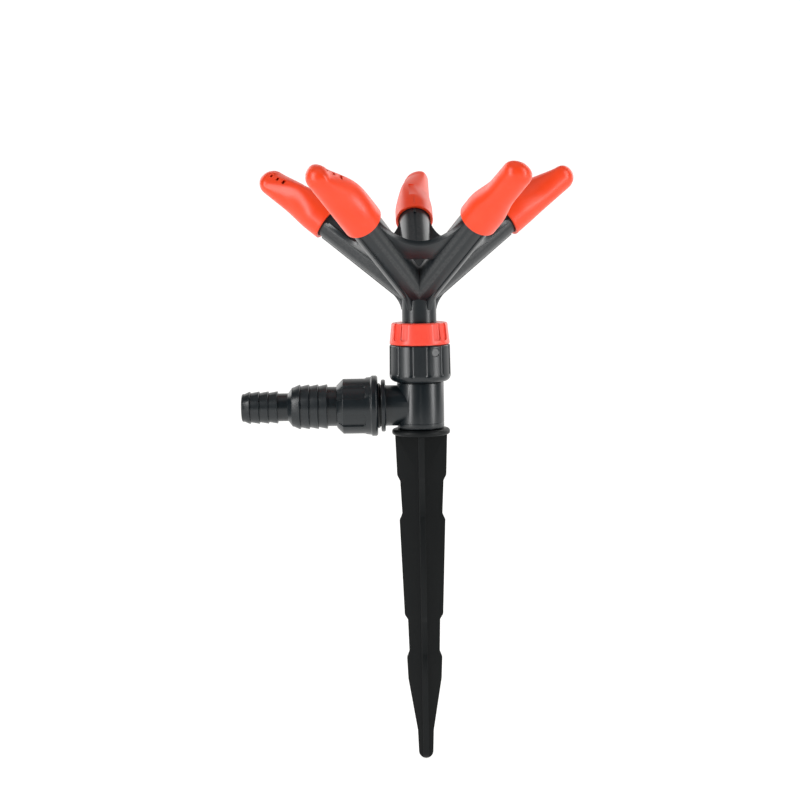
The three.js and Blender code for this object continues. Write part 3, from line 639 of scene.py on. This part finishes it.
def makeHoseTail():
    size = hoseTail
    start, end, flange = size["flange"]
    pipe, neck, tip = size["pipeRadius"], size["neckRadius"], size["endRounding"]
    noseStart, noseEdge, noseEnd = size["nose"]
    piece = turnPiece("hoseTail", [
        (size["rearBore"], start), (flange, start), (flange, end), (pipe, end),
        *barbPoints(size["large"], pipe), (pipe + 0.05, noseStart), (pipe - 0.15, noseEdge),
        (neck + 0.3, noseEnd - 0.05), (neck, noseEnd + 0.3),
        *barbPoints(size["small"], neck), (neck + 0.02, size["end"] - tip - 0.6),
        *arcPoints(neck - tip, size["end"] - tip, tip, 0, 85, 4),
        (size["bore"] + 0.15, size["end"]), (size["bore"], size["end"] - 0.15),
        (size["bore"], size["boreStep"][1]), (size["rearBore"], size["boreStep"][0]),
        (size["rearBore"], start),
    ], 80, hollow=True)
    placeMesh(piece, toInlet)
    finishPiece(piece, "hose_tail", "base", charcoal)
    print("hose tail ready")


makeHoseTail()

# Swivel socket

socket = {
    "bottom": 23.85, "shoulder": 40.25, "neckTop": 46.45, "radius": 13.7, "topRadius": 13.5,
    "rounding": 2.9, "neckRadius": 11.2, "chamberRadius": 9.5, "chamberFloor": 41.9,
    "bore": 6.8, "floor": 34.9, "threadBore": 10.4, "grooveFoot": 2.6, "grooveHalf": 1.25,
    "grooveDepth": 0.6, "groovePitch": 30, "wallPitch": 2.5, "outsideFrom": 12,
    "footRows": (1.25, 0.95, 0.65, 0.32, 0), "wallRows": (30, 34.5, 38.5), "turn": -105,
    "gate": {"angle": -59, "height": 37.4, "radius": 1.95, "depth": 0.35},
}


def makeSocket():
    size = socket
    rounding, bottom, shoulder = size["rounding"], size["bottom"], size["shoulder"]
    footCentre = bottom + size["grooveFoot"] + size["grooveHalf"]
    grooveRows = [footCentre - drop for drop in size["footRows"]]

    def wallRadius(height):
        share = (height - bottom - rounding) / (shoulder - bottom - rounding)
        return size["radius"] + (size["topRadius"] - size["radius"]) * max(0, share)

    rows = [height for height in grooveRows if height > bottom + rounding]
    rows += [*size["wallRows"], shoulder - 0.35]
    piece = turnPiece("swivelSocket", [
        (size["threadBore"], bottom), (size["radius"] - rounding, bottom),
        *arcPoints(size["radius"] - rounding, bottom + rounding, rounding, -80, 0, 8),
        *[(wallRadius(height), height) for height in rows],
        (size["topRadius"] - 0.3, shoulder), (size["neckRadius"], shoulder),
        (size["neckRadius"], size["neckTop"]), (size["chamberRadius"], size["neckTop"]),
        (size["chamberRadius"], size["chamberFloor"]), (size["bore"], size["chamberFloor"]),
        (size["bore"], size["floor"]), (size["threadBore"], size["floor"]),
        (size["threadBore"], bottom),
    ], 144, hollow=True)
    openForEdit(piece)
    mesh = bmesh.from_edit_mesh(piece.data)
    outside, wallPitch = size["outsideFrom"] * mm, size["wallPitch"]
    outer = [v for v in mesh.verts if v.co.xy.length > outside and bottom * mm < v.co.z]
    levels = sorted({round(v.co.z / mm, 2) for v in outer if v.co.z > (footCentre - 1.2) * mm})
    for level in levels:
        for column in (0, 1):
            across = column * math.radians(wallPitch) * size["radius"]
            reach = math.hypot(across, max(0, footCentre - level)) / size["grooveHalf"]
            depth = size["grooveDepth"] * max(0, 1 - reach * reach)
            if depth < 0.01:
                continue
            radius = wallRadius(level) if level < shoulder - 0.1 else size["topRadius"] - 0.3
            pickVerts(lambda v: abs(v.co.z / mm - level) < 0.02 and v.co.xy.length > outside
                      and abs(abs(offsetAngle(v.co.x, v.co.y, 0, size["groovePitch"]))
                              - wallPitch * column) < 0.3)
            ratio = (radius - depth) / radius
            bpy.ops.transform.resize(value=(ratio, ratio, 1), center_override=(0, 0, level * mm))
    closeEdit()
    placeMesh(piece, Matrix.Rotation(math.radians(size["turn"]), 4, "Z"))
    gate = size["gate"]
    dimple = turnPiece("gateDimple", [
        (gate["radius"] - 0.2, size["topRadius"] - gate["depth"]),
        (gate["radius"], size["topRadius"] - 0.05),
        (gate["radius"] + 0.1, size["topRadius"] + 2),
    ], 32)
    placeMesh(dimple, Matrix.Translation((0, 0, gate["height"] * mm))
              @ Matrix.Rotation(math.radians(gate["angle"]), 4, "Z")
              @ Matrix.Rotation(math.pi / 2, 4, "Y"))
    cutOrAdd(piece, dimple, "DIFFERENCE")
    finishPiece(piece, "swivel_socket", "base", charcoal)
    print("swivel socket ready")


makeSocket()

# Retaining ring

ring = {
    "base": 40.5, "top": 50.15, "radius": 13.45, "topRadius": 12.55, "rounding": 0.9, "bevel": 0.45,
    "bore": 11.5, "lipBase": 46.7, "lipBore": 7.95, "pocketFoot": 2.0, "pocketDepth": 0.6,
    "pocketCorner": 0.9, "turn": -45.5, "edge": 0.16,
}


def makeRing():
    size = ring
    base, top, rounding = size["base"], size["top"], size["rounding"]
    foot = base + size["pocketFoot"]

    def wallRadius(height):
        share = (height - base) / (top - rounding - base)
        return size["radius"] + (size["topRadius"] - size["radius"]) * share

    topArc = arcPoints(size["topRadius"] - rounding, top - rounding, rounding, 0, 90, 5)
    piece = turnPiece("retainingRing", [
        (size["bore"], base), (size["radius"] - size["bevel"], base),
        (size["radius"], base + size["bevel"]), (wallRadius(foot), foot), *topArc,
        (size["lipBore"] + 0.25, top), (size["lipBore"], top - 0.25),
        (size["lipBore"], size["lipBase"]),
        (size["bore"], size["lipBase"]), (size["bore"], base),
    ], 72, hollow=True)
    depth = size["pocketDepth"]
    rows = [(foot, wallRadius(foot), wallRadius(foot) - depth)]
    rows += [(height, radius, radius - depth * (1 - 0.75 * i / 5))
             for i, (radius, height) in enumerate(topArc)]
    for centre in (12.5, -7.5):
        sinkFlutes(piece, rows, centre, 90, 7.5, size["pocketCorner"])
    roundEdges(piece, size["edge"], 25, 2)
    placeMesh(piece, Matrix.Rotation(math.radians(size["turn"]), 4, "Z"))
    finishPiece(piece, "retaining_ring", "retainer", coral, 40)
    print("retaining ring ready")


makeRing()

# Sprinkler head

head = {
    "arms": 5, "firstArm": 19.5, "elevation": 37.8, "converge": 63, "armRadius": 7.1, "armBore": 5,
    "rim": 52.4, "armEnd": 64.4, "grooveCentre": 58.4, "grooveFloor": 5.9, "grooveHalf": 0.9,
    "stemRadius": 7.65, "stemBottom": 47.75, "stemTop": 66, "stemBore": (5.9, 57.65, 4.8),
    "web": {"inner": 20.9, "edgeGap": 1.4, "thickness": 1.8, "scallopRadius": 25,
            "scallopCentre": 54, "edge": 0.45},
    "gusset": {"thickness": 2.4, "reach": 14.8, "drop": 7.2, "edge": 0.3},
    "seam": {"width": 1.0, "height": 0.55}, "index": {"length": 3, "width": 1.1, "height": 0.8},
}


def armMatrix(i):
    azimuth = math.radians(head["firstArm"] + 360 * i / head["arms"])
    tilt = math.pi / 2 - math.radians(head["elevation"])
    return (Matrix.Translation((0, 0, head["converge"] * mm)) @ Matrix.Rotation(azimuth, 4, "Z")
            @ Matrix.Rotation(tilt, 4, "Y"))


def turnAround(i, offset=0.0):
    return Matrix.Rotation(math.radians(head["firstArm"] + offset + 360 * i / head["arms"]), 4, "Z")


def makeArm():
    size = head
    radius, middle, half = size["armRadius"], size["grooveCentre"], size["grooveHalf"]
    arm = turnPiece("arm", [
        (radius, 0), (radius, middle - half), (size["grooveFloor"], middle - half),
        (size["grooveFloor"], middle + half), (radius, middle + half),
        (radius, size["armEnd"] - 0.5),
        (radius - 0.5, size["armEnd"]),
    ], 64)
    markEnd = size["rim"] - 0.3
    seam, index = size["seam"], size["index"]
    seamLength = markEnd - 1 - size["stemRadius"]
    rib = roundedBlock("seamRib", (2, seam["width"], seamLength),
                       (radius + seam["height"] - 1, 0, size["stemRadius"] + seamLength / 2), 0.3)
    cutOrAdd(arm, rib, "UNION")
    nub = roundedBlock("indexNub", (2, index["width"], index["length"]),
                       (-radius - index["height"] + 1, 0, markEnd - index["length"] / 2), 0.25)
    cutOrAdd(arm, nub, "UNION")
    return arm


# A cone-shaped web between the arms, scalloped out in the middle of each gap.
def makeWeb():
    size, web = head, head["web"]
    elevation = math.radians(size["elevation"])
    outer = size["rim"] - web["edgeGap"]
    inner = web["inner"] / math.cos(elevation)
    stations = [(d * math.cos(elevation), size["converge"] + d * math.sin(elevation))
                for d in (inner, outer)]
    band = turnPiece("armWeb", stations, 120, hollow=True)
    applyModifier(band, "SOLIDIFY", thickness=web["thickness"] * mm, offset=0)
    scallop = turnPiece("scallop", [(web["scallopRadius"], size["converge"]),
                                    (web["scallopRadius"], size["converge"] + 2 * size["rim"])], 96)
    placeMesh(scallop, Matrix.Translation((web["scallopCentre"] * mm, 0, 0)))
    scallops = [copyPiece(scallop, "scallopCopy") for _ in range(size["arms"])]
    for i, cutter in enumerate(scallops):
        placeMesh(cutter, turnAround(i, 180 / size["arms"]))
    bpy.data.objects.remove(scallop)
    cutOrAdd(band, joinPieces(scallops), "DIFFERENCE")
    roundEdges(band, web["edge"], 50, 3)
    return band


# The rib under one arm, hollow-curved from the arm's underside down to the stem.
def makeGusset():
    size, rib = head, head["gusset"]
    elevation = math.radians(size["elevation"])
    low = size["converge"] - rib["drop"]
    high = (size["converge"] + rib["reach"] * math.tan(elevation)
            - size["armRadius"] / math.cos(elevation))
    clearSelection()
    bpy.ops.mesh.primitive_plane_add(size=1)
    gusset = bpy.context.object
    gusset.name = "gusset"
    bpy.ops.object.mode_set(mode="EDIT")
    bpy.ops.mesh.select_mode(type="VERT")
    bpy.ops.transform.resize(value=(1 * mm, rib["thickness"] * mm, 1))
    bpy.ops.transform.translate(value=(0, 0, low * mm))
    bpy.ops.transform.resize(value=((2 * size["stemRadius"] + 0.6), 1, 1),
                             center_override=(0, 0, low * mm))
    height, reach = low, size["stemRadius"] + 0.3
    for step in range(1, 11):
        share = step / 10
        nextHeight = low + (high - low) * share
        nextReach = (1 - share) ** 2 * (size["stemRadius"] + 0.3) + 2 * share * (1 - share) * (
            size["stemRadius"] + 1) + share ** 2 * rib["reach"]
        bpy.ops.mesh.extrude_region_move(
            TRANSFORM_OT_translate={"value": (0, 0, (nextHeight - height) * mm)})
        bpy.ops.transform.resize(value=(nextReach / reach, 1, 1),
                                 center_override=(0, 0, nextHeight * mm))
        height, reach = nextHeight, nextReach
    bpy.ops.mesh.extrude_region_move(TRANSFORM_OT_translate={"value": (0, 0, 1 * mm)})
    bpy.ops.mesh.select_all(action="SELECT")
    bpy.ops.mesh.bisect(plane_co=(0, 0, 0), plane_no=(1, 0, 0), clear_inner=True, use_fill=True)
    bpy.ops.mesh.select_all(action="SELECT")
    bpy.ops.mesh.normals_make_consistent(inside=False)
    closeEdit()
    roundEdges(gusset, rib["edge"], 50, 2)
    return gusset


def makeHead():
    size = head
    stem = turnPiece("sprinklerHead", [
        (size["stemRadius"] - 0.35, size["stemBottom"]),
        (size["stemRadius"], size["stemBottom"] + 0.35),
        (size["stemRadius"], size["stemTop"]),
    ], 80)
    arm, gusset = makeArm(), makeGusset()
    cutOrAdd(stem, makeWeb(), "UNION", "MANIFOLD")
    for i in range(size["arms"]):
        thisArm = copyPiece(arm, "armCopy")
        placeMesh(thisArm, armMatrix(i))
        cutOrAdd(stem, thisArm, "UNION", "MANIFOLD")
        thisGusset = copyPiece(gusset, "gussetCopy")
        placeMesh(thisGusset, turnAround(i))
        cutOrAdd(stem, thisGusset, "UNION", "MANIFOLD")
    waterway = turnPiece("waterway", [(size["armBore"], 0),
                                      (size["armBore"], size["armEnd"] + 1)], 48)
    for i in range(size["arms"]):
        bore = copyPiece(waterway, "waterwayCopy")
        placeMesh(bore, armMatrix(i))
        cutOrAdd(stem, bore, "DIFFERENCE", "MANIFOLD")
    lower, step, upper = size["stemBore"]
    stemBore = turnPiece("stemBore", [(lower, size["stemBottom"] - 1), (lower, step), (upper, step),
                                      (upper, size["converge"])], 48)
    cutOrAdd(stem, stemBore, "DIFFERENCE", "MANIFOLD")
    for spare in (arm, gusset, waterway):
        bpy.data.objects.remove(spare)
    finishPiece(stem, "sprinkler_head", "rotor", charcoal, 32)
    print("sprinkler head ready")


makeHead()

# Nozzle caps

cap = {
    "length": 38.5, "radius": 8.7, "wall": 1.3, "shoulder": (6, 21), "beakHalfWidth": 6.4,
    "beakOffset": -2.2, "slantStart": 18.95, "slantSlope": 0.504, "slantSoftness": 3,
    "tipRounding": 5.7, "tipSweep": 84, "crownSharpness": 1.25, "twist": 141, "slotTurn": -12,
    "slots": [(27, 1.3, 2.2), (30.5, 1.1, 1.9), (34, 0.9, 1.6)],
    "markTurn": 39, "pad": {"ends": ((8.45, 9.5), (6.33, 20)), "width": 4.4, "depth": 0.3},
    "line": (2, 9.3, 0.45, 0.22),
    "tubeRadius": 10, "bodySteps": 36, "tipSteps": 9,
}


def capSection(distance):
    size = cap
    start, end = size["shoulder"]
    share = min(1, max(0, (distance - start) / (end - start)))
    share = share * share * (3 - 2 * share)
    past = (distance - size["slantStart"]) / size["slantSoftness"]
    fall = size["slantSlope"] * size["slantSoftness"] * math.log(1 + math.exp(past))
    return {
        "halfWidth": size["radius"] + (size["beakHalfWidth"] - size["radius"]) * share,
        "centre": size["beakOffset"] * share,
        "crown": size["radius"] - fall,
        "heel": -size["radius"],
        "sharpness": 1 + (size["crownSharpness"] - 1) * share,
    }


# Where a point of the plain tube goes: ring by ring, out to the cap's own section.
def capPoint(ring, turn, reach):
    size = cap
    tipStart = size["length"] - size["tipRounding"]
    share = min(1, ring / size["bodySteps"])
    sweep = math.radians(size["tipSweep"]) * max(0, ring - size["bodySteps"]) / size["tipSteps"]
    section = capSection(tipStart * share)
    shrink = math.cos(sweep) * reach
    side = math.sin(turn)
    onCrown = math.cos(turn) > 0
    if onCrown:
        side = math.copysign(abs(side) ** section["sharpness"], side)
    far = section["crown"] if onCrown else section["heel"]
    level = section["centre"] + abs(math.cos(turn)) * (far - section["centre"])
    middle = (section["crown"] + section["heel"]) / 2
    return Vector((middle + (level - middle) * shrink, section["halfWidth"] * side * shrink,
                   tipStart * share + size["tipRounding"] * math.sin(sweep))) * mm


def makeCapShape():
    size = cap
    rings = size["bodySteps"] + size["tipSteps"]
    tube = size["tubeRadius"]
    shape = turnPiece("nozzleCap", [(tube, i) for i in range(rings + 1)], 72)
    openForEdit(shape, "FACE")
    pickFaces(lambda c: c.z < 0.01 * mm)
    bpy.ops.mesh.delete(type="FACE")
    pickFaces(lambda c: c.z > (rings - 0.01) * mm)
    bpy.ops.mesh.inset(thickness=tube / 2 * mm)
    bpy.ops.mesh.merge(type="CENTER")
    mesh = bmesh.from_edit_mesh(shape.data)
    for vert in mesh.verts:
        reach = min(1, vert.co.xy.length / (tube * mm))
        turn = math.atan2(vert.co.y, vert.co.x)
        vert.co = capPoint(round(vert.co.z / mm), turn, reach)
    bpy.ops.mesh.select_all(action="SELECT")
    bpy.ops.mesh.normals_make_consistent(inside=False)
    closeEdit()
    applyModifier(shape, "SOLIDIFY", thickness=size["wall"] * mm, offset=-1, use_even_offset=True)
    openForEdit(shape, "EDGE")
    pickEdges(lambda a, b: abs(a.z) < 0.01 * mm and abs(b.z) < 0.01 * mm
              and abs(a.xy.length - b.xy.length) < 0.1 * mm)
    bpy.ops.mesh.bevel(offset=0.3 * mm, segments=3, affect="EDGES")
    closeEdit()
    cutters = []
    for distance, along, across in size["slots"]:
        slot = roundedBlock("slot", (20, across, along), (10, 0, distance), 0, size["slotTurn"])
        placeMesh(slot, Matrix.Translation((size["beakOffset"] * mm, 0, 0)))
        cutters.append(slot)
    start, end, width, depth = size["line"]
    cutters.append(roundedBlock("indexLine", (4, width, end - start),
                                (size["radius"] - depth + 2, 0, (start + end) / 2), 0.1,
                                size["markTurn"]))
    pad = size["pad"]
    (lowReach, low), (highReach, high) = pad["ends"]
    flat = roundedBlock("thumbFlat", (4, pad["width"], high - low), (2 - pad["depth"], 0, 0), 0.1)
    placeMesh(flat, Matrix.Rotation(math.radians(size["markTurn"]), 4, "Z")
              @ Matrix.Translation(Vector(((lowReach + highReach) / 2, 0, (low + high) / 2)) * mm)
              @ Matrix.Rotation(math.atan2(highReach - lowReach, high - low), 4, "Y"))
    cutters.append(flat)
    cutOrAdd(shape, joinPieces(cutters), "DIFFERENCE")
    return shape


def makeCaps():
    shape = makeCapShape()
    for i in range(head["arms"]):
        piece = copyPiece(shape, f"nozzleCap{i + 1}")
        placeMesh(piece, armMatrix(i) @ Matrix.Translation((0, 0, head["rim"] * mm))
                  @ Matrix.Rotation(math.radians(cap["twist"]), 4, "Z"))
        finishPiece(piece, f"nozzle_cap_{i + 1}", f"nozzle_{i + 1}", orange, 40)
    bpy.data.objects.remove(shape)
    print("nozzle caps ready")


makeCaps()

# Floor, light and camera

stageLook = {"floor": -149.4, "near": -2600, "far": 1500, "half": 4000, "wall": 2600, "curve": 700}


def makeStage():
    size = stageLook
    clearSelection()
    bpy.ops.mesh.primitive_plane_add(size=1)
    floor = bpy.context.object
    floor.name = "paleFloor"
    bpy.ops.object.mode_set(mode="EDIT")
    bpy.ops.transform.resize(value=(2 * size["half"] * mm, (size["far"] - size["near"]) * mm, 1))
    bpy.ops.transform.translate(value=(0, (size["far"] + size["near"]) / 2 * mm,
                                       size["floor"] * mm))
    closeEdit()
    openForEdit(floor, "EDGE")
    pickEdges(lambda a, b: min(a.y, b.y) > (size["far"] - 1) * mm)
    bpy.ops.mesh.extrude_region_move(TRANSFORM_OT_translate={"value": (0, 0, size["wall"] * mm)})
    closeEdit()
    applyModifier(floor, "BEVEL", width=size["curve"] * mm, segments=24, limit_method="ANGLE")
    bpy.ops.object.shade_smooth()
    paper = bpy.data.materials.new("palePaper")
    paper.use_nodes = True
    shader = paper.node_tree.nodes["Principled BSDF"]
    shader.inputs["Base Color"].default_value = (0.35, 0.35, 0.345, 1)
    shader.inputs["Roughness"].default_value = 0.9
    shader.inputs["Emission Color"].default_value = (1, 0.995, 0.985, 1)
    shader.inputs["Emission Strength"].default_value = 0.82
    floor.data.materials.append(paper)


makeStage()

lamps = {
    "leftBox": {"place": (-0.95, -0.70, 0.30), "size": (0.28, 1.3), "power": 12},
    "rightBox": {"place": (1.0, -0.50, 0.30), "size": (0.28, 1.3), "power": 10},
    "topBox": {"place": (0.0, -0.15, 1.25), "size": (1.1, 0.9), "power": 1.5},
    "backLeft": {"place": (-0.8, 0.9, 0.5), "size": (0.6, 1.0), "power": 3},
    "backRight": {"place": (0.8, 0.9, 0.5), "size": (0.6, 1.0), "power": 3},
}
aim = Vector((0, 0, 0.03))
for lampName, lamp in lamps.items():
    light = bpy.data.lights.new(lampName, "AREA")
    light.shape = "RECTANGLE"
    light.size, light.size_y = lamp["size"]
    light.energy = lamp["power"]
    holder = bpy.data.objects.new(lampName, light)
    holder.location = lamp["place"]
    holder.rotation_euler = (aim - holder.location).to_track_quat("-Z", "Y").to_euler()
    bpy.context.scene.collection.objects.link(holder)

world = bpy.data.worlds.new("softWhite")
world.use_nodes = True
surround = world.node_tree.nodes["Background"]
surround.inputs["Color"].default_value = (1, 1, 1, 1)
# Seen directly the surroundings are as pale as the floor; as light they stay faint.
seen = world.node_tree.nodes.new("ShaderNodeLightPath")
level = world.node_tree.nodes.new("ShaderNodeMapRange")
level.inputs["To Min"].default_value = 0.07
level.inputs["To Max"].default_value = 0.9
world.node_tree.links.new(seen.outputs["Is Camera Ray"], level.inputs["Value"])
world.node_tree.links.new(level.outputs["Result"], surround.inputs["Strength"])
bpy.context.scene.world = world
bpy.context.scene.view_settings.view_transform = "Standard"

view = {"place": (-0.0078, -0.750, 0.0956), "down": 6.1, "roll": 1.0, "lens": 75.8}
cameraData = bpy.data.cameras.new("viewCamera")
cameraData.lens = view["lens"]
camera = bpy.data.objects.new("viewCamera", cameraData)
camera.location = view["place"]
camera.rotation_euler = (math.radians(90 - view["down"]), math.radians(view["roll"]), 0)
bpy.context.scene.collection.objects.link(camera)
bpy.context.scene.camera = camera
print("stage ready")
